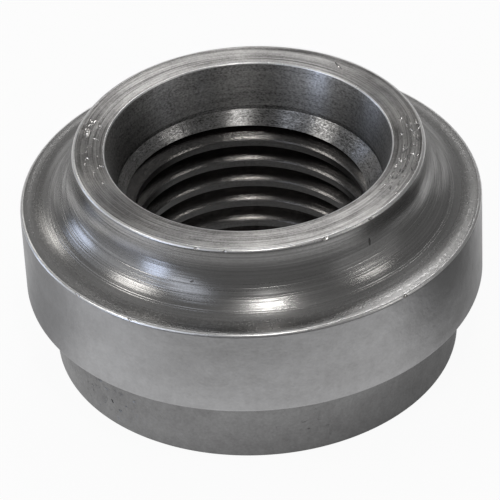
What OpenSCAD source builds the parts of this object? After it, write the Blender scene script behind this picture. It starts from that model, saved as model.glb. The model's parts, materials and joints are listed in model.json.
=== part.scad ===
// Weld bung: a turned steel ring that is welded into a wall to give it a threaded port with an O-ring seat.
// Its axis is +Z, and the origin is the centre of the spigot's end face, on which it stands.

/* [Body] */
// Diameter of the band that stands outside the wall
body_d = 25.4; // [24:0.1:32]
// Height of the band between its lower and upper shoulders
body_h = 5.2; // [2:0.05:10]

/* [Spigot] */
// Diameter of the spigot that drops into the hole in the wall
spigot_d = 22.5; // [18:0.1:24]
// Length of the spigot below the lower shoulder
spigot_h = 4.25; // [2:0.05:10]
// Chamfer that leads the spigot into its hole
spigot_chamfer = 0.08; // [0.05:0.01:1]

/* [Collar] */
// Diameter of the collar that carries the sealing face
collar_d = 19.3; // [17.5:0.1:22]
// Height of the sealing face above the upper shoulder
collar_h = 3.25; // [2:0.05:6]
// Radius of the cove between the collar and the upper shoulder
cove_r = 2.6; // [0.5:0.05:4]

/* [Port] */
// Major diameter of the thread
thread_d = 14.29; // [12:0.01:15]
// Distance from one turn of the thread to the next
thread_pitch = 1.411; // [1:0.001:2]
// Width of the seat's mouth outside the thread, on one side
seat_step = 0.705; // [0.6:0.005:1.2]
// Depth of the tapered O-ring seat
seat_depth = 2.5; // [1:0.05:3.5]
// Slope of the O-ring seat to the axis, in degrees
seat_angle = 12; // [8:0.5:15]
// Height of the straight wall between the seat and the lead-in
seat_land = 0.25; // [0.05:0.05:0.8]
// Slope of the lead-in and of the exit countersink to the axis, in degrees
lead_angle = 45; // [30:1:60]
// Width of the exit countersink outside the thread, on one side
exit_step = 0.1; // [0:0.05:0.5]

/* [Edges] */
// Break on the edges of the body, the collar and the spigot's shoulder
edge_break = 0.18; // [0.05:0.01:0.4]
// Break on the edge of the seat's mouth
mouth_break = 0.08; // [0.02:0.01:0.2]

/* [Hidden] */
$fn = 128;

// A standard 60 degree thread is cut to five eighths of its sharp height, on both sides of the bore.
thread_slope = 30;
sharp_height = thread_pitch / (2 * tan(thread_slope));
bore_r = thread_d / 2 - sharp_height * 5 / 8;

// Radii of the outside
body_r = body_d / 2;
spigot_r = spigot_d / 2;
collar_r = collar_d / 2;

// Heights of the shoulders and of the sealing face
lower_shoulder_z = spigot_h;
upper_shoulder_z = lower_shoulder_z + body_h;
top_z = upper_shoulder_z + collar_h;

// The cove stays within the shoulder's width and the collar's height, inside their broken edges.
cove_fit = min(cove_r, body_r - edge_break - collar_r, collar_h - edge_break);
cove_x = collar_r + cove_fit;
cove_z = upper_shoulder_z + cove_fit;

// Seat, lead-in and exit of the port
seat_r = thread_d / 2 + seat_step;
seat_bottom_r = seat_r - seat_depth * tan(seat_angle);
seat_bottom_z = top_z - seat_depth;
lead_start_z = seat_bottom_z - seat_land;
lead_end_z = lead_start_z - (seat_bottom_r - bore_r) / tan(lead_angle);
mouth_lip_r = seat_r - mouth_break * tan(seat_angle);
exit_r = thread_d / 2 + exit_step;
exit_end_z = (exit_r - bore_r) / tan(lead_angle);

// Half of the ring's section, with the cove's corner still square
module square_section() {
    polygon([
        [exit_r, 0],
        [spigot_r - spigot_chamfer, 0],
        [spigot_r, spigot_chamfer],
        [spigot_r, lower_shoulder_z],
        [body_r - edge_break, lower_shoulder_z],
        [body_r, lower_shoulder_z + edge_break],
        [body_r, upper_shoulder_z - edge_break],
        [body_r - edge_break, upper_shoulder_z],
        [cove_x, upper_shoulder_z],
        [cove_x, cove_z],
        [collar_r, cove_z],
        [collar_r, top_z - edge_break],
        [collar_r - edge_break, top_z],
        [seat_r + mouth_break, top_z],
        [mouth_lip_r, top_z - mouth_break],
        [seat_bottom_r, seat_bottom_z],
        [seat_bottom_r, lead_start_z],
        [bore_r, lead_end_z],
        [bore_r, exit_end_z]
    ]);
}

// The section as turned: a round-nosed tool sweeps the cove out of the square corner.
module turned_section() {
    difference() {
        square_section();
        translate([cove_x, cove_z])
            circle(r = cove_fit);
    }
}

module weld_bung() {
    color("#8b8a88")
        rotate_extrude()
            turned_section();
}

weld_bung();
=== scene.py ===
# %% [markdown]
# # A weld bung in turned steel
# A weld bung is a short steel ring that is welded into a pipe or tank wall, so that a plug or a sensor can
# be screwed into it. It is one turned piece: a spigot that drops into the wall, a wider body, a coved
# collar, and a tapped port with a tapered seat for an O-ring. This lesson builds its looks around the
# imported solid, with the modelling tools that one would use by hand.

# %% Load the solid and read its sizes
import json
import math
import random

import bpy
from mathutils import Matrix, Vector


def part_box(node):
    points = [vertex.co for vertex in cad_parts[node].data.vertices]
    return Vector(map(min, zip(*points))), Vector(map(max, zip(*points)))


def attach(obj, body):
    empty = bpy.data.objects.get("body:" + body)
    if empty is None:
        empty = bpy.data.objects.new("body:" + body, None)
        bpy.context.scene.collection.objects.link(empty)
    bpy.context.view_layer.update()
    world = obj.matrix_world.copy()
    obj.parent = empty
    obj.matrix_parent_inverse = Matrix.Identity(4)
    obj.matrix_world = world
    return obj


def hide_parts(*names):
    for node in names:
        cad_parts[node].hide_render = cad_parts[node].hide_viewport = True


MM = 0.001
NODE = "weld_bung"

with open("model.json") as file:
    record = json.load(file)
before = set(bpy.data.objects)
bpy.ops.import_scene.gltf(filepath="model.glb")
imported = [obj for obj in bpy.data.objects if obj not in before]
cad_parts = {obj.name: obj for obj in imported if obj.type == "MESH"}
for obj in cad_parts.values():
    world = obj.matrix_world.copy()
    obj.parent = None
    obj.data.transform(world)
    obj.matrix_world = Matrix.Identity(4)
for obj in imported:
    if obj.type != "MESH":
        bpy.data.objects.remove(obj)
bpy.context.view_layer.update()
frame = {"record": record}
_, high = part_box(NODE)
mounts = {mount["name"]: mount for mount in frame["record"]["mounts"]}

body_r = high.x
top_z = high.z
bore_r = mounts["port_thread"]["dims"]["r_mm"] * MM
spigot_r = mounts["wall_spigot"]["dims"]["r_mm"] * MM
lower_shoulder_z = mounts["wall_shoulder"]["pos_m"][2]
print(f"body {2 * body_r / MM:.2f} mm wide and {top_z / MM:.2f} mm high, bore {2 * bore_r / MM:.2f} mm")

# %% [markdown]
# ## The camera
# The photograph looks down at the ring from about 37 degrees, through a long lens that shows little
# perspective, with the camera rolled a little. These values came from fitting the ring's outline, so the
# ring lands on the same pixels in a square picture.

# %% Set up the camera
camera_back = 163.06 * MM
camera_height = 128.63 * MM
camera_tilt = math.radians(37.063)
camera_turn = math.radians(0.07)
camera_roll = math.radians(-2.973)
camera_lens_mm = 264.55
camera_sensor_mm = 36

bpy.ops.object.select_all(action="DESELECT")
bpy.ops.object.camera_add(location=(0, -camera_back, camera_height))
camera = bpy.context.object
look_down = Matrix.Rotation(math.radians(90) - camera_tilt, 4, "X")
look_round = Matrix.Rotation(camera_turn, 4, "Z")
camera.rotation_euler = (look_round @ look_down @ Matrix.Rotation(camera_roll, 4, "Z")).to_euler()
camera.data.lens = camera_lens_mm
camera.data.sensor_width = camera_sensor_mm
camera.data.clip_start = MM
bpy.context.scene.camera = camera
print("camera at", [round(c / MM, 1) for c in camera.location], "mm")

# %% [markdown]
# ## Nodes and colours
# Every material here is a small node tree. One function adds a node, sets its values and links its inputs,
# and one turns the hex colours that people read into the linear colours that the renderer works in.

# %% Helpers for node trees
def linear(hex_colour):
    channels = [int(hex_colour[i:i + 2], 16) / 255 for i in (1, 3, 5)]
    return (*[c / 12.92 if c <= 0.04045 else ((c + 0.055) / 1.055) ** 2.4 for c in channels], 1)


def add_node(tree, kind, inputs=None, **settings):
    node = tree.nodes.new(kind)
    for name, value in settings.items():
        setattr(node, name, value)
    for socket, value in (inputs or {}).items():
        if isinstance(value, bpy.types.NodeSocket):
            tree.links.new(value, node.inputs[socket])
        else:
            node.inputs[socket].default_value = value
    return node


def new_material(name):
    material = bpy.data.materials.new(name)
    material.use_nodes = True
    material.node_tree.nodes.clear()
    return material


print("middle grey #808080 is", round(linear("#808080")[0], 3), "in linear light")

# %% [markdown]
# ## The floor
# The ring stands on white paper under a pool of light. Steel shows little but its surroundings, so the
# paper matters as much as the metal: the upright walls mirror the paper close by, and the cove mirrors what
# lies further off. A whole room could be modelled for that, but a paper with light and shade painted on it
# by place is smaller and does the same. To the camera the paper is white all over. To the metal its white
# fades to a painted grey beyond the pool, with a painted pale patch at the front left, painted dark patches
# on the right, painted grey ones on the left, and a painted shadow of the ring close to its foot. A share of
# plain glow lifts the paper to the white of the picture, and the rest keeps the ring's own cast shadow.

# %% Lay the paper
paper_size = 4.0
paper_white = "#ffffff"
room_grey = "#717171"
glow_to_camera = 0.94
glow_to_metal = 0.8

bpy.ops.object.select_all(action="DESELECT")
bpy.ops.mesh.primitive_plane_add(size=paper_size)
paper = bpy.context.object
paper.name = "paper"

white_paper = new_material("white_paper")
tree = white_paper.node_tree
place = add_node(tree, "ShaderNodeTexCoord")
path = add_node(tree, "ShaderNodeLightPath")
unseen = add_node(tree, "ShaderNodeMath", {0: 1.0, 1: path.outputs["Is Camera Ray"]}, operation="SUBTRACT")
shade = linear(paper_white)
# Painted light and shade that only the metal sees: the pool's grey edge, the patches and the ring's shadow
# Centre in x and y, where the fade begins and where it ends, all in millimetres, and the colour at its end
fades = [
    (0, 26, 42, 66, room_grey),
    (-46, -17, 20, 6, "#e8eeff"),
    (29.5, -4.5, 17, 8, "#4a4a4a"),
    (35, 6, 12, 5, "#404040"),
    (-19.5, -0.5, 9, 3, "#acacac"),
    (-28, 11, 10, 4, "#9a9a9a"),
    (3, 1.5, 16, 11, "#b6b6b6"),
]
for x_mm, y_mm, white_at_mm, dark_at_mm, colour in fades:
    away = add_node(tree, "ShaderNodeVectorMath",
                    {0: place.outputs["Object"], 1: (x_mm * MM, y_mm * MM, 0)}, operation="DISTANCE")
    reach = {"Value": away.outputs["Value"], "From Min": white_at_mm * MM, "From Max": dark_at_mm * MM}
    fade = add_node(tree, "ShaderNodeMapRange", reach, interpolation_type="SMOOTHSTEP")
    fade = add_node(tree, "ShaderNodeMath", {0: fade.outputs[0], 1: unseen.outputs[0]}, operation="MULTIPLY")
    shade = add_node(tree, "ShaderNodeMix", {"Factor": fade.outputs[0], 6: shade, 7: linear(colour)},
                     data_type="RGBA").outputs[2]
mirrored = add_node(tree, "ShaderNodeMath",
                    {0: path.outputs["Is Glossy Ray"], 1: path.outputs["Is Transmission Ray"]},
                    operation="MAXIMUM")
share = add_node(tree, "ShaderNodeMath", {0: mirrored.outputs[0], 1: glow_to_metal}, operation="MULTIPLY")
share = add_node(tree, "ShaderNodeMath",
                 {0: path.outputs["Is Camera Ray"], 1: glow_to_camera, 2: share.outputs[0]},
                 operation="MULTIPLY_ADD")
matt = add_node(tree, "ShaderNodeBsdfDiffuse", {"Color": shade})
glow = add_node(tree, "ShaderNodeEmission", {"Color": shade, "Strength": 1.0})
mixed = add_node(tree, "ShaderNodeMixShader", {0: share.outputs[0], 1: matt.outputs[0], 2: glow.outputs[0]})
add_node(tree, "ShaderNodeOutputMaterial", {"Surface": mixed.outputs[0]})
paper.data.materials.append(white_paper)

room = bpy.data.worlds.new("dim_room")
room.use_nodes = True
room.node_tree.nodes.clear()
tree = room.node_tree
path = add_node(tree, "ShaderNodeLightPath")
shade = add_node(tree, "ShaderNodeMix",
                 {"Factor": path.outputs["Is Camera Ray"], 6: linear(room_grey), 7: linear(paper_white)},
                 data_type="RGBA")
sky = add_node(tree, "ShaderNodeBackground", {"Color": shade.outputs[2], "Strength": 1.0})
add_node(tree, "ShaderNodeOutputWorld", {"Surface": sky.outputs[0]})
bpy.context.scene.world = room
bpy.context.scene.view_settings.view_transform = "Standard"
print("paper laid with", len(fades), "fades")

# %% [markdown]
# ## Lamps
# The highlights on the cove show where the lamps stood: a ray from the camera, mirrored in the cove, points
# back at each one. Each line gives a lamp's direction and size and its brightness as a radiance. The key
# lamp hangs high at the front, with a tall glow round it. Others stand on the right, on the left and at the
# rear left, three cool ones stand on the left, and a small one hangs overhead at the rear, which the flat
# face mirrors. The panels are large and dim, like the walls and the ceiling of a studio.

# %% Hang the lamps
lamp_distance = 0.5


def hang_lamp(name, azimuth, elevation, width, height, radiance, colour):
    a, e = math.radians(azimuth), math.radians(elevation)
    away = Vector((math.cos(a) * math.cos(e), math.sin(a) * math.cos(e), math.sin(e)))
    bpy.ops.object.select_all(action="DESELECT")
    bpy.ops.object.light_add(type="AREA", location=away * lamp_distance + Vector((0, 0, top_z)))
    lamp = bpy.context.object
    lamp.name = name
    lamp.rotation_euler = away.to_track_quat("Z", "Y").to_euler()
    lamp.data.shape = "ELLIPSE"
    lamp.data.size = width
    lamp.data.size_y = height
    lamp.data.energy = radiance * math.pi * width * height * math.pi / 4
    lamp.data.color = linear(colour)[:3]


# Name, azimuth and elevation in degrees, width and height in metres, radiance and colour
lamps = [
    ("key_lamp", 284, 72, 0.05, 0.10, 19.0, "#fffdf9"),
    ("key_glow", 278, 64, 0.10, 0.46, 0.95, "#ffffff"),
    ("right_lamp", 348, 43, 0.14, 0.05, 5.0, "#fffdf9"),
    ("left_lamp", 187, 46, 0.18, 0.12, 4.0, "#fffdf9"),
    ("low_left_lamp", 212, 8, 0.13, 0.26, 2.2, "#d3e2ff"),
    ("front_left_lamp", 228, 36, 0.16, 0.38, 1.0, "#eaf1ff"),
    ("far_left_lamp", 157, 13, 0.18, 0.16, 1.7, "#d3e2ff"),
    ("rear_left_lamp", 126, 35, 0.16, 0.06, 2.8, "#fffdf9"),
    ("overhead_lamp", 85.7, 45, 0.11, 0.11, 6.5, "#ffffff"),
    ("ceiling_panel", 92, 62, 0.60, 0.30, 0.17, "#ffffff"),
    ("left_panel", 188, 16, 0.80, 0.46, 0.36, "#f4f8ff"),
    ("right_panel", 338, 14, 0.40, 0.46, 0.17, "#ffffff"),
    ("rear_panel", 94, 26, 0.80, 0.36, 0.08, "#ffffff"),
    ("rear_low_panel", 90, 2, 1.20, 0.22, 0.45, "#ffffff"),
]
for lamp in lamps:
    hang_lamp(*lamp)
print(len(lamps), "lamps")

# %% [markdown]
# ## The ring
# The real ring is turned from bar: every surface is a ring round one axis. So a circle is laid at the
# port's lower mouth, and its edge is extruded from corner to corner of the section, scaled to each corner's
# radius, until it comes back to where it began. The corners stay sharp for now.

# %% Extrude the ring through its corners
ring_steps = 256
collar_r = 9.65 * MM
upper_shoulder_z = 9.45 * MM
thread_r = 7.145 * MM
seat_step = 0.705 * MM
seat_depth = 2.5 * MM
seat_slope = math.radians(12)
seat_land = 0.25 * MM
exit_step = 0.1 * MM

# The lead-in and the exit countersink slope at 45 degrees, so they are as high as they are wide.
seat_r = thread_r + seat_step
seat_bottom_z = top_z - seat_depth
seat_bottom_r = seat_r - (top_z - seat_bottom_z) * math.tan(seat_slope)
lead_start_z = seat_bottom_z - seat_land
lead_end_z = lead_start_z - (seat_bottom_r - bore_r)
exit_r = thread_r + exit_step
exit_end_z = exit_r - bore_r

corners = [
    (spigot_r, 0),
    (spigot_r, lower_shoulder_z),
    (body_r, lower_shoulder_z),
    (body_r, upper_shoulder_z),
    (collar_r, upper_shoulder_z),
    (collar_r, top_z),
    (seat_r, top_z),
    (seat_bottom_r, seat_bottom_z),
    (seat_bottom_r, lead_start_z),
    (bore_r, lead_end_z),
    (bore_r, exit_end_z),
]

bpy.ops.object.select_all(action="DESELECT")
bpy.ops.mesh.primitive_circle_add(vertices=ring_steps, radius=exit_r)
ring = bpy.context.object
ring.name = "turned_weld_bung"
bpy.ops.object.mode_set(mode="EDIT")
last_r, last_z = exit_r, 0
for r, z in corners:
    bpy.ops.mesh.extrude_edges_move(TRANSFORM_OT_translate={"value": (0, 0, z - last_z)})
    bpy.ops.transform.resize(value=(r / last_r, r / last_r, 1), center_override=(0, 0, 0))
    last_r, last_z = r, z
bpy.ops.object.mode_set(mode="OBJECT")
print("section with", len(corners) + 1, "corners")

# %% Close the ring
circle_reach = 0.002 * MM


def near_circle(point, r, z):
    return abs(math.hypot(point.x, point.y) - r) < circle_reach and abs(point.z - z) < circle_reach


def select_circles(piece, circles):
    points = piece.data.vertices
    for edge in piece.data.edges:
        ends = [points[v].co for v in edge.vertices]
        edge.select = any(all(near_circle(end, r, z) for end in ends) for r, z in circles)


def edit_edges(piece):
    bpy.ops.object.select_all(action="DESELECT")
    bpy.context.view_layer.objects.active = piece
    piece.select_set(True)
    bpy.ops.object.mode_set(mode="EDIT")
    bpy.ops.mesh.select_mode(type="EDGE")
    bpy.ops.mesh.select_all(action="DESELECT")
    bpy.ops.object.mode_set(mode="OBJECT")


edit_edges(ring)
select_circles(ring, [(exit_r, 0), corners[-1]])
bpy.ops.object.mode_set(mode="EDIT")
bpy.ops.mesh.bridge_edge_loops()
bpy.ops.mesh.select_all(action="SELECT")
bpy.ops.mesh.normals_make_consistent(inside=False)
bpy.ops.object.mode_set(mode="OBJECT")
print("ring with", len(ring.data.polygons), "faces")

# %% [markdown]
# ## Edges and cove
# A lathe leaves no sharp corner. The collar's and the body's edges are broken with a file or a tool, and a
# round-nosed tool sweeps the cove between the collar and the shoulder. Both are bevels here: a narrow one
# rounds an outer edge, and a wide one on the inner corner makes the cove.

# %% Round the edges and sweep the cove
cove_r = 2.6 * MM
edge_break = 0.18 * MM
spigot_break = 0.08 * MM
mouth_break = 0.08 * MM

# Circles to bevel, width and number of segments
rounds = [
    ([(collar_r, upper_shoulder_z)], cove_r, 40),
    ([(body_r, lower_shoulder_z), (body_r, upper_shoulder_z), (collar_r, top_z)], edge_break, 4),
    ([(spigot_r, 0)], spigot_break, 3),
    ([(seat_r, top_z)], mouth_break, 3),
]
for circles, width, segments in rounds:
    edit_edges(ring)
    select_circles(ring, circles)
    bpy.ops.object.mode_set(mode="EDIT")
    bpy.ops.mesh.bevel(offset=width, segments=segments, affect="EDGES")
    bpy.ops.object.mode_set(mode="OBJECT")
print("rounded ring with", len(ring.data.polygons), "faces")

# %% [markdown]
# ## Steel that was turned
# A cutting tool leaves marks that run round the axis, and light spreads across them and not along them.
# Three functions make such a finish. The first finds a point's direction round the axis and its place
# across the marks. The second lays layers of noise that are drawn out along the marks: each has a length
# and a width in millimetres, the steepness of its flanks in degrees and its contrast. The third turns them
# into colour, roughness and bump, with a clear coat where the steel is oily. An image of brushed metal
# would need a seam and an unwrapped mesh, and these need neither.

# %% Functions for turned steel
mark_radius = 10 * MM
mark_detail = 3.0
mark_raggedness = 0.6
across_marks = 0.25
oil_roughness = 0.07


def begin_steel(name, lean):
    material = new_material(name)
    tree = material.node_tree
    place = add_node(tree, "ShaderNodeTexCoord")
    parts = add_node(tree, "ShaderNodeSeparateXYZ", {0: place.outputs["Object"]})
    flat = add_node(tree, "ShaderNodeCombineXYZ", {"X": parts.outputs["X"], "Y": parts.outputs["Y"]})
    radius = add_node(tree, "ShaderNodeVectorMath", {0: flat.outputs[0]}, operation="LENGTH")
    around = add_node(tree, "ShaderNodeVectorMath", {0: flat.outputs[0]}, operation="NORMALIZE")
    # The radius plus or minus the height changes on flat, upright and sloping surfaces alike.
    across = add_node(tree, "ShaderNodeMath",
                      {0: parts.outputs["Z"], 1: lean, 2: radius.outputs["Value"]}, operation="MULTIPLY_ADD")
    return material, around.outputs[0], across.outputs[0]


def lay_marks(material, around, across, layers):
    tree = material.node_tree
    tone = 0.5 - sum(contrast for _, _, _, contrast in layers) / 2
    height = 0.0
    for length_mm, width_mm, steepness, contrast in layers:
        turns = mark_radius / (length_mm * MM)
        line = add_node(tree, "ShaderNodeMath", {0: across, 1: width_mm * MM}, operation="DIVIDE")
        lift = add_node(tree, "ShaderNodeCombineXYZ", {"Z": line.outputs[0]})
        spot = add_node(tree, "ShaderNodeVectorMath", {0: around, 1: (turns, turns, 0), 2: lift.outputs[0]},
                        operation="MULTIPLY_ADD")
        noise = add_node(tree, "ShaderNodeTexNoise",
                         {"Vector": spot.outputs[0], "Scale": 1.0,
                          "Detail": mark_detail, "Roughness": mark_raggedness})
        depth = width_mm * MM * math.tan(math.radians(steepness))
        tone = add_node(tree, "ShaderNodeMath", {0: noise.outputs["Fac"], 1: contrast, 2: tone},
                        operation="MULTIPLY_ADD").outputs[0]
        height = add_node(tree, "ShaderNodeMath", {0: noise.outputs["Fac"], 1: depth, 2: height},
                          operation="MULTIPLY_ADD").outputs[0]
    return tone, height


def end_steel(material, around, tone, height, dark, light, dull, bright, anisotropic, oil=0.0):
    tree = material.node_tree
    colour = add_node(tree, "ShaderNodeMix", {"Factor": tone, 6: linear(dark), 7: linear(light)},
                      data_type="RGBA")
    roughness = add_node(tree, "ShaderNodeMapRange", {"Value": tone, "To Min": dull, "To Max": bright})
    bump = add_node(tree, "ShaderNodeBump", {"Height": height, "Strength": 1.0, "Distance": 1.0})
    along = add_node(tree, "ShaderNodeVectorMath", {0: (0, 0, 1), 1: around}, operation="CROSS_PRODUCT")
    shader = add_node(tree, "ShaderNodeBsdfPrincipled",
                      {"Base Color": colour.outputs[2], "Metallic": 1.0, "Roughness": roughness.outputs[0],
                       "Normal": bump.outputs[0], "Anisotropic": anisotropic,
                       "Anisotropic Rotation": across_marks, "Tangent": along.outputs[0],
                       "Coat Weight": oil, "Coat Roughness": oil_roughness, "Coat Normal": bump.outputs[0]})
    add_node(tree, "ShaderNodeOutputMaterial", {"Surface": shader.outputs[0]})
    print(material.name, "from", dark, "to", light, "in", len(tree.nodes), "nodes")


print(f"marks have their true length at a radius of {mark_radius / MM:.0f} mm")

# %% [markdown]
# ## The flat face
# The sealing face was faced: a tool crossed it while the ring turned, and left rings finer than a hair. Cut
# as geometry they would need millions of faces, so they are drawn-out noise, a little coarser than the real
# ones so that they show. Full anisotropy spreads light across the rings. That makes the face bright towards
# and away from the overhead lamp and dark at its sides.

# %% Faced steel
# Mild steel, faced on a lathe: bright sectors, fine bright rings, and a slightly warm grey from handling.
faced_steel, around, across = begin_steel("faced_steel", -1)
tone, height = lay_marks(faced_steel, around, across, [
    (6, 0.06, 11, 1.9),
    (16, 0.20, 8, 1.2),
    (1.2, 0.6, 1, 0.6),
    (0.12, 0.10, 0.8, 0.8),
])
end_steel(faced_steel, around, tone, height, "#5c5a59", "#c6c4c2", 0.37, 0.28, 1.0)

# %% [markdown]
# ## The cove
# A round-nosed tool cut the cove, and a strip of emery smoothed it, so it mirrors the lamps in soft
# streaks. A plain rough metal would blur them evenly. Here long marks break them into lines, and a few
# single grooves, where the tool dug in, cut right through the highlights. Towards the shoulder the emery
# did not reach, and the steel is darker and grainier, so a second set of marks fades in there.

# %% Polished cove
# Mild steel, turned and rubbed with emery: soft mirror streaks that run round, duller towards the shoulder.
cove_steel, around, across = begin_steel("polished_cove_steel", -1)
tone, height = lay_marks(cove_steel, around, across, [
    (14, 0.08, 2.8, 1.0),
    (26, 0.22, 3, 0.6),
    (30, 0.7, 2, 0.0),
    (0.12, 0.12, 0.6, 0.5),
    (4, 1.5, 0, 0.5),
])
shoulder_tone, shoulder_height = lay_marks(cove_steel, around, across, [
    (5, 0.07, 4, 1.5),
    (0.14, 0.12, 1.4, 1.7),
])
dull_from = 1.4 * MM
dull_to = 2.7 * MM
dull_drop = -0.55
tree = cove_steel.node_tree
dull = add_node(tree, "ShaderNodeMapRange", {"Value": across, "From Min": dull_from, "From Max": dull_to},
                interpolation_type="SMOOTHSTEP").outputs[0]
tone = add_node(tree, "ShaderNodeMix", {"Factor": dull, 2: tone, 3: shoulder_tone}).outputs[0]
tone = add_node(tree, "ShaderNodeMath", {0: dull, 1: dull_drop, 2: tone}, operation="MULTIPLY_ADD").outputs[0]
height = add_node(tree, "ShaderNodeMix", {"Factor": dull, 2: height, 3: shoulder_height}).outputs[0]

grooves_mm = [-0.489, 0.2, 0.373, 1.282, 1.445]
groove_width = 0.05 * MM
groove_depth = 0.007 * MM
for groove_mm in grooves_mm:
    off = add_node(tree, "ShaderNodeMath", {0: across, 1: groove_mm * MM}, operation="SUBTRACT")
    off = add_node(tree, "ShaderNodeMath", {0: off.outputs[0]}, operation="ABSOLUTE")
    cut = add_node(tree, "ShaderNodeMapRange",
                   {"Value": off.outputs[0], "From Max": groove_width, "To Min": 1.0, "To Max": 0.0},
                   interpolation_type="SMOOTHSTEP")
    height = add_node(tree, "ShaderNodeMath", {0: cut.outputs[0], 1: -groove_depth, 2: height},
                      operation="MULTIPLY_ADD").outputs[0]
end_steel(cove_steel, around, tone, height, "#858483", "#c4c3c2", 0.29, 0.21, 0.65)
print(len(grooves_mm), "grooves in the cove")

# %% [markdown]
# ## The band and the spigot
# The upright walls are the skin of cold-drawn bar: even, satin and almost without marks. They need only a
# fine grain and faint clouds. The spigot is the same steel, a little darker: painted shade for its place
# under the body's shoulder.

# %% Satin walls
# Cold-drawn mild steel: a smooth satin that blurs the paper into one pale grey.
band_steel, around, across = begin_steel("satin_band_steel", -1)
tone, height = lay_marks(band_steel, around, across, [
    (0.14, 0.14, 3, 0.5),
    (0.5, 0.8, 2, 0.5),
    (4, 2, 0, 0.8),
])
end_steel(band_steel, around, tone, height, "#989797", "#bcbcbd", 0.46, 0.38, 0.2)

# Cold-drawn mild steel: the same satin, one shade darker, which is painted shade under the body's shoulder.
spigot_steel_painted_shade, around, across = begin_steel("satin_spigot_steel", -1)
tone, height = lay_marks(spigot_steel_painted_shade, around, across, [
    (0.14, 0.14, 5, 0.8),
    (0.5, 0.8, 3, 0.6),
    (4, 2, 0, 0.8),
])
end_steel(spigot_steel_painted_shade, around, tone, height, "#737272", "#959595", 0.46, 0.38, 0.2)

# %% [markdown]
# ## The port
# The O-ring's seat was cut by a form tool and looks dark, because it mirrors the port's own inside. The
# lead-in below it is smoother and catches the key lamp. The thread still holds cutting oil: nearly black
# steel, partly from the oil and partly painted shade of the deep bore, under a thin clear coat, which gives
# it small bright glints. The coat is the shader's own, so no second surface is needed.

# %% Steel of the port
# Mild steel, cut with a form tool: a fine grain that lies along the cut, and a sheen across it.
seat_steel, around, across = begin_steel("form_cut_seat_steel", -1)
tone, height = lay_marks(seat_steel, around, across, [
    (6, 0.10, 4, 0.8),
    (0.2, 0.07, 3.5, 1.9),
    (3, 1.5, 0, 0.6),
])
end_steel(seat_steel, around, tone, height, "#666564", "#d2d1d0", 0.38, 0.28, 0.9)

# Mild steel, bored to a cone: brighter than the seat, with a trace of oil.
lead_steel, around, across = begin_steel("bored_lead_in_steel", 1)
tone, height = lay_marks(lead_steel, around, across, [
    (5, 0.10, 3, 1.2),
    (0.2, 0.07, 3.5, 3.0),
    (2, 1.0, 0, 0.8),
])
end_steel(lead_steel, around, tone, height, "#484746", "#b4b3b2", 0.37, 0.26, 0.97, oil=0.3)

# Mild steel, tapped, under cutting oil: nearly black, partly from the oil and partly painted shade of the
# bore, with wet glints.
thread_steel, around, across = begin_steel("oil_and_painted_shade_thread_steel", 1)
tone, height = lay_marks(thread_steel, around, across, [
    (3, 0.10, 3, 1.0),
    (0.14, 0.12, 5, 3.0),
])
end_steel(thread_steel, around, tone, height, "#211f1e", "#7c7977", 0.24, 0.14, 0.3, oil=1.0)

# Mild steel, bored before it was tapped: the thread's crests, a shade lighter and less wet, and darkened
# with painted shade of the bore.
crest_steel, around, across = begin_steel("bored_crest_steel", 1)
tone, height = lay_marks(crest_steel, around, across, [
    (3, 0.10, 3, 1.0),
    (0.14, 0.12, 4, 2.0),
])
end_steel(crest_steel, around, tone, height, "#3b3a39", "#5e5d5c", 0.34, 0.26, 0.5, oil=0.6)

# %% [markdown]
# ## Bright edges, knocks and marks
# The broken edges are near-white, a painted highlight along them, and a fresh knock shows clean metal. Old
# marks in the cove are dark: partly dirt and partly painted shade inside them. These three finishes are small
# in area, so each is a grain and little more.

# %% Painted edge highlights, knocks and marks
# Mild steel on the broken edges, near-white: a painted highlight along them.
edge_steel, around, across = begin_steel("edge_painted_highlight_steel", -1)
tone, height = lay_marks(edge_steel, around, across, [
    (0.5, 0.2, 2.5, 1.0),
    (0.15, 0.15, 1.5, 0.8),
])
end_steel(edge_steel, around, tone, height, "#dedcda", "#ffffff", 0.33, 0.25, 0.0)

# Freshly knocked mild steel: bright and smooth, so that it sparkles.
knock_steel, around, across = begin_steel("knocked_steel", -1)
tone, height = lay_marks(knock_steel, around, across, [
    (0.12, 0.12, 6, 1.0),
])
end_steel(knock_steel, around, tone, height, "#a8a6a4", "#e4e2e0", 0.28, 0.20, 0.0)

# Mild steel in an old mark: dark and matt, partly dirt and partly painted shade inside the mark.
mark_steel, around, across = begin_steel("dirt_and_painted_shade_mark_steel", -1)
tone, height = lay_marks(mark_steel, around, across, [
    (0.12, 0.12, 6, 1.0),
])
end_steel(mark_steel, around, tone, height, "#646362", "#888786", 0.50, 0.40, 0.0)

finishes = [faced_steel, cove_steel, band_steel, spigot_steel_painted_shade, seat_steel, lead_steel, thread_steel,
            crest_steel, edge_steel, knock_steel, mark_steel]
for finish in finishes:
    ring.data.materials.append(finish)
print(len(finishes), "finishes")

# %% [markdown]
# ## Knocks and marks
# Rings knock about in a bin. This one has gouges and fine scratches in its flat face, nicks along its
# edges, a slash in the cove and shallow dents in the spigot's skin. Bump could only fake them, so each is
# pressed by a pebble: an icosphere that is squeezed to the mark's length, width and depth and made a little
# uneven. A gouge's pebble is sunk nearly to its middle, and a dent's or a nick's less. The large marks are
# placed one by one, and the small ones are scattered over patches by dice that always fall the same way.
# All the pebbles are joined, and one Boolean takes them away.

# %% Shape a pebble
unevenness = 0.25


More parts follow.
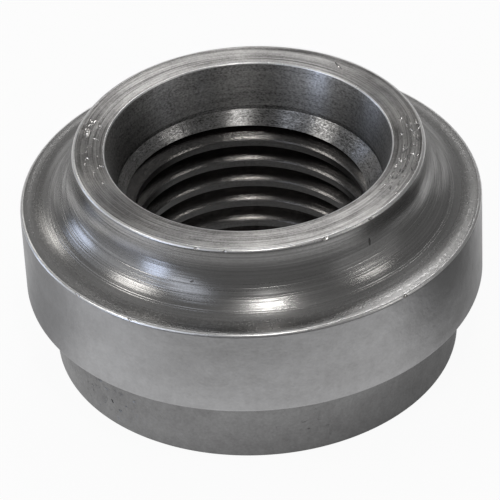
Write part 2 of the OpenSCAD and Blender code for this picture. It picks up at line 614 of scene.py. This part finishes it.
def place_pebble(finish, azimuth, r_mm, z_mm, elevation, length_mm, width_mm, depth_mm, heading, seed):
    a, e, h = math.radians(azimuth), math.radians(elevation), math.radians(heading)
    outward = Vector((math.cos(a) * math.cos(e), math.sin(a) * math.cos(e), math.sin(e)))
    round_axis = Vector((-math.sin(a), math.cos(a), 0))
    lengthwise = round_axis * math.cos(h) + outward.cross(round_axis) * math.sin(h)
    turn = Matrix((lengthwise, outward.cross(lengthwise), outward)).transposed()
    bpy.ops.object.select_all(action="DESELECT")
    bpy.ops.mesh.primitive_ico_sphere_add(subdivisions=2, radius=1)
    pebble = bpy.context.object
    bpy.ops.object.mode_set(mode="EDIT")
    bpy.ops.transform.vertex_random(offset=unevenness, seed=seed)
    bpy.ops.object.mode_set(mode="OBJECT")
    pebble.scale = (length_mm / 2 * MM, width_mm / 2 * MM, depth_mm * MM)
    pebble.rotation_euler = turn.to_euler()
    pebble.location = (r_mm * MM * math.cos(a), r_mm * MM * math.sin(a), z_mm * MM)
    bpy.ops.object.transform_apply(location=True, rotation=True, scale=True)
    pebble.data.materials.append(finish)
    return pebble


print("a pebble is uneven by up to", unevenness, "of its radius")

# %% Place the large marks
# How many degrees above level the knocked surface faces
FACE_UP = 90
EDGE = 45

# Pebbles for the flat face stand a hair above it, so that none of their corners lies in its plane.
top_mm = top_z / MM
face_mm = top_mm + 0.007

# Finish, azimuth, radius and height in millimetres, facing, length, width and depth in millimetres, heading
knocks = [
    (knock_steel, 168.0, 8.98, face_mm, FACE_UP, 1.10, 0.34, 0.18, 8),
    (knock_steel, 165.0, 9.18, face_mm, FACE_UP, 0.70, 0.28, 0.15, -15),
    (knock_steel, 161.5, 8.98, face_mm, FACE_UP, 0.50, 0.24, 0.12, 50),
    (knock_steel, 163.0, 8.45, face_mm, FACE_UP, 0.40, 0.18, 0.08, 30),
    (knock_steel, 171.5, 8.45, face_mm, FACE_UP, 0.30, 0.14, 0.06, 70),
    (knock_steel, 189.5, 8.13, face_mm, FACE_UP, 0.38, 0.12, 0.06, 40),
    (knock_steel, 53.5, 8.85, face_mm, FACE_UP, 0.80, 0.16, 0.10, -28),
    (knock_steel, 293.2, 9.63, top_mm - 0.02, EDGE, 0.55, 0.28, 0.11, 20),
    (knock_steel, 310.5, 9.63, top_mm - 0.02, EDGE, 0.36, 0.22, 0.09, 0),
    (knock_steel, 251.8, 9.63, top_mm - 0.02, EDGE, 0.42, 0.24, 0.08, 10),
    (knock_steel, 260.9, 9.63, top_mm - 0.02, EDGE, 0.36, 0.22, 0.075, -10),
    (mark_steel, 309.2, 9.75, 11.33, 16, 0.50, 0.14, 0.03, 80),
    (mark_steel, 250.6, 10.01, 10.72, 31, 0.24, 0.12, 0.02, 20),
    (knock_steel, 308.6, 12.67, 9.42, EDGE, 0.40, 0.30, 0.10, 30),
    (knock_steel, 221.6, 12.67, 9.42, EDGE, 0.38, 0.22, 0.075, 0),
    (knock_steel, 238.0, 12.67, 9.42, EDGE, 0.34, 0.20, 0.07, 0),
    (mark_steel, 121.2, 7.00, 9.63, 135, 0.80, 0.08, 0.02, 80),
]
pebbles = []
for knock in knocks:
    pebbles.append(place_pebble(*knock, seed=len(pebbles)))
print(len(pebbles), "large marks")

# %% Scatter the small marks
dent_r = 11.40
on_face = (face_mm, face_mm)
any_way, along_ring = (-90, 90), (-25, 25)
broad, slender = (0.4, 0.8), (0.16, 0.34)

# Finish, ranges of azimuth, radius and height, facing, count, range of length, slimness, depth, headings
patches = [
    (spigot_steel_painted_shade, (213, 233), (dent_r, dent_r), (0.7, 3.4), 0, 44, (0.4, 1.1), broad, 0.18, any_way),
    (spigot_steel_painted_shade, (272, 292), (dent_r, dent_r), (0.8, 3.4), 0, 16, (0.4, 1.0), broad, 0.175, any_way),
    (knock_steel, (160, 171), (8.75, 9.25), on_face, FACE_UP, 10, (0.20, 0.50), broad, 0.10, any_way),
    (knock_steel, (324, 376), (8.3, 9.4), on_face, FACE_UP, 60, (0.14, 0.46), slender, 0.03, along_ring),
    (mark_steel, (318, 372), (8.4, 9.4), on_face, FACE_UP, 22, (0.16, 0.50), slender, 0.03, along_ring),
    (knock_steel, (172, 204), (8.2, 9.3), on_face, FACE_UP, 26, (0.12, 0.36), slender, 0.03, along_ring),
    (knock_steel, (236, 262), (8.7, 9.4), on_face, FACE_UP, 8, (0.10, 0.24), slender, 0.03, along_ring),
]
dice = random.Random(5)
for finish, azimuths, radii, heights, elevation, count, lengths, slimness, depth, headings in patches:
    for _ in range(count):
        azimuth = dice.uniform(*azimuths)
        r_mm = dice.uniform(*radii)
        z_mm = dice.uniform(*heights)
        length = dice.uniform(*lengths)
        width = length * dice.uniform(*slimness)
        heading = dice.uniform(*headings)
        pebbles.append(place_pebble(finish, azimuth, r_mm, z_mm, elevation, length, width, depth, heading,
                                    seed=len(pebbles)))
print(len(pebbles), "marks with the small ones")

# %% Press all the marks
bpy.ops.object.select_all(action="DESELECT")
for pebble in pebbles:
    pebble.select_set(True)
bpy.context.view_layer.objects.active = pebbles[0]
bpy.ops.object.join()


def cut_away(piece, cutter, overlapping=False):
    bpy.ops.object.select_all(action="DESELECT")
    bpy.context.view_layer.objects.active = piece
    piece.select_set(True)
    bpy.ops.object.modifier_add(type="BOOLEAN")
    cut = piece.modifiers[-1]
    cut.operation = "DIFFERENCE"
    cut.solver = "EXACT"
    cut.use_self = overlapping
    cut.material_mode = "TRANSFER"
    cut.object = cutter
    bpy.ops.object.modifier_apply(modifier=cut.name)
    bpy.data.objects.remove(cutter)


cut_away(ring, pebbles[0], overlapping=True)
print("knocked ring with", len(ring.data.polygons), "faces")

# %% [markdown]
# ## The thread
# The port is tapped: a tap with a spiral of teeth cuts a groove with flanks at 30 degrees into the bore.
# The same is done here. A plane is shaped into one tooth, the Screw modifier winds it into the tap's
# spiral, and a Boolean takes the spiral away from the ring. It starts and ends in the open seat and below
# the end face, so the groove runs out as a real one does. The tap is turned by half a degree, so that its
# edges don't fall on the ring's own, where a Boolean would leave slivers.

# %% Work out the tooth
thread_pitch = 1.411 * MM
thread_steps = 128
thread_rear_z = 8.95 * MM
flank = math.tan(math.radians(30))
tooth_tip = 0.03 * MM
crest_round = 0.09 * MM
crest_flare = 1.0
crest_clearance = 0.04 * MM
tooth_root_r = bore_r - crest_clearance
knee_r = bore_r + crest_round
tooth_knee = tooth_tip + (thread_r - knee_r) * flank
tooth_base = tooth_knee + (knee_r - tooth_root_r) * crest_flare
tap_turns = 9
turns_below_rear = 7.25
tap_turn = math.radians(0.56)
tap_start_z = thread_rear_z - turns_below_rear * thread_pitch
print(f"tooth {2 * tooth_base / MM:.2f} mm wide at the bore, {(thread_r - bore_r) / MM:.2f} mm deep")

# %% Shape one tooth
knee_reach = 0.001 * MM
knee_round = 0.8 * crest_round
knee_segments = 4

bpy.ops.object.select_all(action="DESELECT")
bpy.ops.mesh.primitive_plane_add(size=2 * tooth_base, rotation=(math.radians(90), 0, 0))
tap = bpy.context.object
tap.name = "tap"
tap.scale = ((knee_r - tooth_root_r) / (2 * tooth_base), 1, 1)
tap.location = ((knee_r + tooth_root_r) / 2, 0, tap_start_z)
bpy.ops.object.transform_apply(location=True, rotation=True, scale=True)


def select_outer_edge(piece, r):
    points = piece.data.vertices
    for vertex in points:
        vertex.select = vertex.co.x > r
    for edge in piece.data.edges:
        edge.select = all(points[v].select for v in edge.vertices)


edit_edges(tap)
select_outer_edge(tap, (knee_r + tooth_root_r) / 2)
bpy.ops.object.mode_set(mode="EDIT")
bpy.ops.transform.resize(value=(1, 1, tooth_knee / tooth_base), center_override=(0, 0, tap_start_z))
bpy.ops.mesh.extrude_edges_move(TRANSFORM_OT_translate={"value": (thread_r - knee_r, 0, 0)})
bpy.ops.transform.resize(value=(1, 1, tooth_tip / tooth_knee), center_override=(0, 0, tap_start_z))
bpy.ops.mesh.select_all(action="SELECT")
bpy.ops.mesh.delete(type="ONLY_FACE")
bpy.ops.mesh.select_all(action="DESELECT")
bpy.ops.object.mode_set(mode="OBJECT")
for edge in tap.data.edges:
    edge.select = all(abs(tap.data.vertices[v].co.x - knee_r) < knee_reach for v in edge.vertices)
bpy.ops.object.mode_set(mode="EDIT")
bpy.ops.mesh.delete(type="EDGE_FACE")
bpy.ops.mesh.select_mode(type="VERT")
bpy.ops.mesh.select_all(action="DESELECT")
bpy.ops.object.mode_set(mode="OBJECT")
for vertex in tap.data.vertices:
    vertex.select = abs(vertex.co.x - knee_r) < knee_reach
bpy.ops.object.mode_set(mode="EDIT")
bpy.ops.mesh.bevel(offset=knee_round, segments=knee_segments, affect="VERTICES")
bpy.ops.object.mode_set(mode="OBJECT")
print("tooth with", len(tap.data.vertices), "corners")

# %% Wind the tap and cut the thread
seam_gap = 0.0005 * MM
most_end_sides = 20
bpy.ops.object.modifier_add(type="SCREW")
wind = tap.modifiers[-1]
wind.angle = math.radians(360)
wind.screw_offset = thread_pitch
wind.iterations = tap_turns
wind.steps = thread_steps
wind.render_steps = thread_steps
bpy.ops.object.modifier_apply(modifier=wind.name)
bpy.ops.object.mode_set(mode="EDIT")
bpy.ops.mesh.select_all(action="SELECT")
bpy.ops.mesh.remove_doubles(threshold=seam_gap)
bpy.ops.mesh.fill_holes(sides=most_end_sides)
bpy.ops.mesh.select_all(action="SELECT")
bpy.ops.mesh.normals_make_consistent(inside=False)
bpy.ops.object.mode_set(mode="OBJECT")
tap.rotation_euler.z = tap_turn
bpy.ops.object.transform_apply(location=True, rotation=True, scale=True)
tap.data.materials.append(thread_steel)
tap_z = [v.co.z / MM for v in tap.data.vertices]
print(f"tap from {min(tap_z):.2f} to {max(tap_z):.2f} mm with {len(tap.data.polygons)} faces")
cut_away(ring, tap)
print("threaded ring with", len(ring.data.polygons), "faces")

# %% [markdown]
# ## Smooth shading
# Round surfaces are shaded smooth across edges of less than 28 degrees. The rim of each knock is marked
# sharp, or its slope would run out over the flat face as streaks. Each narrow bevel beside a wide flat face
# would tilt that face's shading too, so the Weighted Normal modifier lets the wide faces keep their own.

# %% Shade the ring
smooth_below = math.radians(28)
wide_face_weight = 100
bpy.ops.object.shade_smooth_by_angle(angle=smooth_below)
knocked = [finishes.index(knock_steel), finishes.index(mark_steel)]
sides = {}
for face in ring.data.polygons:
    for key in face.edge_keys:
        sides.setdefault(key, set()).add(face.material_index in knocked)
for edge in ring.data.edges:
    if len(sides[edge.key]) == 2:
        edge.use_edge_sharp = True
bpy.ops.object.modifier_add(type="WEIGHTED_NORMAL")
weigh = ring.modifiers[-1]
weigh.weight = wide_face_weight
weigh.keep_sharp = True
bpy.ops.object.modifier_apply(modifier=weigh.name)
print(sum(edge.use_edge_sharp for edge in ring.data.edges), "sharp edges of", len(ring.data.edges))

# %% [markdown]
# ## Which finish goes where
# Each tool left its finish on one part of the section, so a face's distance from the axis, its height and
# its slope tell which one it has. That could be painted by hand, but this way it follows the sizes. What
# the pebbles and the tap have cut keeps the finish that came with them.

# %% Give each face its finish
edges = [(collar_r, top_z), (body_r, upper_shoulder_z), (seat_r, top_z)]
edge_slope_min, edge_slope_max = 0.35, 0.995
edge_face_area = 0.1 * MM * MM
lead_slope_min = 0.6
underside_slope = -0.9
slack = 0.005 * MM


def finish_at(face):
    r = math.hypot(face.center.x, face.center.y)
    z = face.center.z
    near_edge = any(math.hypot(r - edge_r, z - edge_z) < edge_break for edge_r, edge_z in edges)
    if near_edge and face.area < edge_face_area and edge_slope_min < face.normal.z < edge_slope_max:
        return edge_steel
    if z > top_z - slack or z < slack:
        return faced_steel
    if r < seat_r and z > seat_bottom_z:
        return seat_steel
    if r < seat_r and z > lead_start_z:
        return lead_steel
    if r < seat_r and z > lead_end_z and face.normal.z > lead_slope_min:
        return lead_steel
    if r < bore_r + slack:
        return crest_steel
    if r < seat_r:
        return thread_steel
    if z > upper_shoulder_z - slack:
        return cove_steel
    if z > lower_shoulder_z + slack:
        return band_steel
    if face.normal.z < underside_slope:
        return faced_steel
    return spigot_steel_painted_shade


kept = [finishes.index(finish) for finish in (knock_steel, mark_steel, thread_steel)]
for face in ring.data.polygons:
    if face.material_index not in kept:
        face.material_index = finishes.index(finish_at(face))
for i, finish in enumerate(finishes):
    print(finish.name, "on", sum(face.material_index == i for face in ring.data.polygons), "faces")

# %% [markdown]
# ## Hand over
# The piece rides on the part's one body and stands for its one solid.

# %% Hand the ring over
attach(ring, "root")
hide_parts(NODE)
